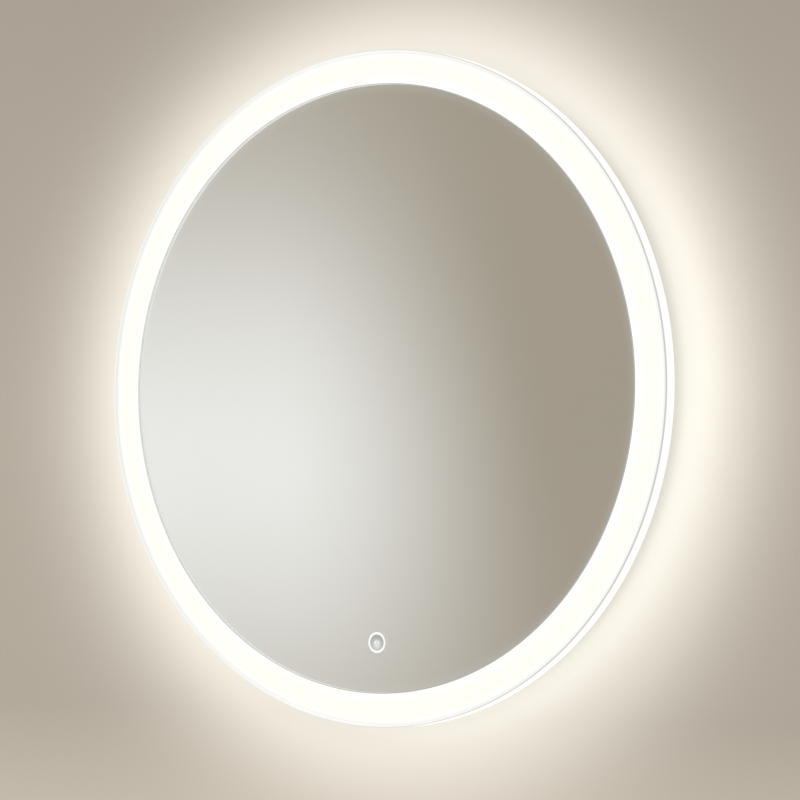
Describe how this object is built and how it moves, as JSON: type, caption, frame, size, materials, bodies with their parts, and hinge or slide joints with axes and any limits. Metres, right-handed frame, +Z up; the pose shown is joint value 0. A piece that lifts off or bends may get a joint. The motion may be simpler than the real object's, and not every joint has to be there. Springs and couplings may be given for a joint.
{
  "type": "lighted bathroom mirror",
  "caption": "Round wall mirror with a glowing opal band round the glass, a touch switch in the glass and halo light behind, on a hook bracket.",
  "frame": {"origin": "middle of the wall bracket's two fixing slots, on the wall", "axes": "+Z up, +X to the right seen from the room, -Y out of the wall towards the room, so the mirror faces -Y"},
  "size_m": [0.5999, 0.044, 0.6],
  "materials": {
    "clear_glass": "clear",
    "silver": "polished",
    "foam_tape": "matt",
    "light_guide": "gloss",
    "led": "gloss",
    "circuit_board": "satin",
    "white_connector": "satin",
    "black_housing": "matt",
    "opal_band": "satin",
    "opal_side": "satin",
    "white_steel": "matt",
    "strip_tape": "satin",
    "opal_halo": "satin",
    "chassis_aluminium": "mill",
    "galvanised_sheet": "galvanised",
    "zinc_plated": "zinc plated",
    "black_rubber": "matt",
    "white_housing": "matt",
    "ferrite": "matt",
    "capacitor_sleeve": "gloss",
    "brass_parts": "machined",
    "white_insulation": "satin",
    "black_insulation": "satin",
    "earth_insulation": "satin"
  },
  "bodies": {
    "bracket": {"wall_bracket": "zinc_plated"},
    "mirror_unit": {"mirror_glass": "clear_glass", "mirror_silvering": "silver", "mirror_tapes": "foam_tape", "touch_ring_lens": "light_guide", "touch_indicator_lights": "led", "sensor_board": "circuit_board", "sensor_plug": "white_connector", "sensor_housing": "black_housing", "front_diffuser": "opal_band", "light_rim": "opal_side", "reflector_tray": "white_steel", "front_light_strip": "strip_tape", "front_light_chips": "led", "rear_light_strip": "strip_tape", "rear_light_chips": "led", "halo_diffuser": "opal_halo", "chassis_ring": "chassis_aluminium", "carrier_plate": "galvanised_sheet", "carrier_standoffs": "zinc_plated", "back_cover": "galvanised_sheet", "cover_screws": "zinc_plated", "hanger_bracket": "zinc_plated", "hanger_screws": "zinc_plated", "wall_bumpers": "black_rubber", "driver_base": "white_housing", "driver_lid": "white_housing", "driver_board": "circuit_board", "driver_transformer": "ferrite", "driver_capacitors": "capacitor_sleeve", "driver_terminals": "white_connector", "driver_screws": "zinc_plated", "junction_base": "white_housing", "junction_lid": "white_housing", "junction_screws": "zinc_plated", "terminal_block": "white_connector", "terminal_screws": "brass_parts", "cord_clamp": "white_housing", "clamp_screws": "zinc_plated", "cable_grommet": "black_rubber", "mains_lead": "white_insulation", "supply_lead": "black_insulation", "front_strip_lead": "black_insulation", "rear_strip_lead": "black_insulation", "earth_lead": "earth_insulation", "earth_tag": "zinc_plated", "earth_nut": "zinc_plated", "earth_screw": "zinc_plated", "lead_clips": "white_connector"}
  },
  "joints": [
    {"name": "lift_off", "type": "slide", "parent": "bracket", "child": "mirror_unit", "axis": [0, 0, 1], "range_m": [0, 0.016]}
  ]
}
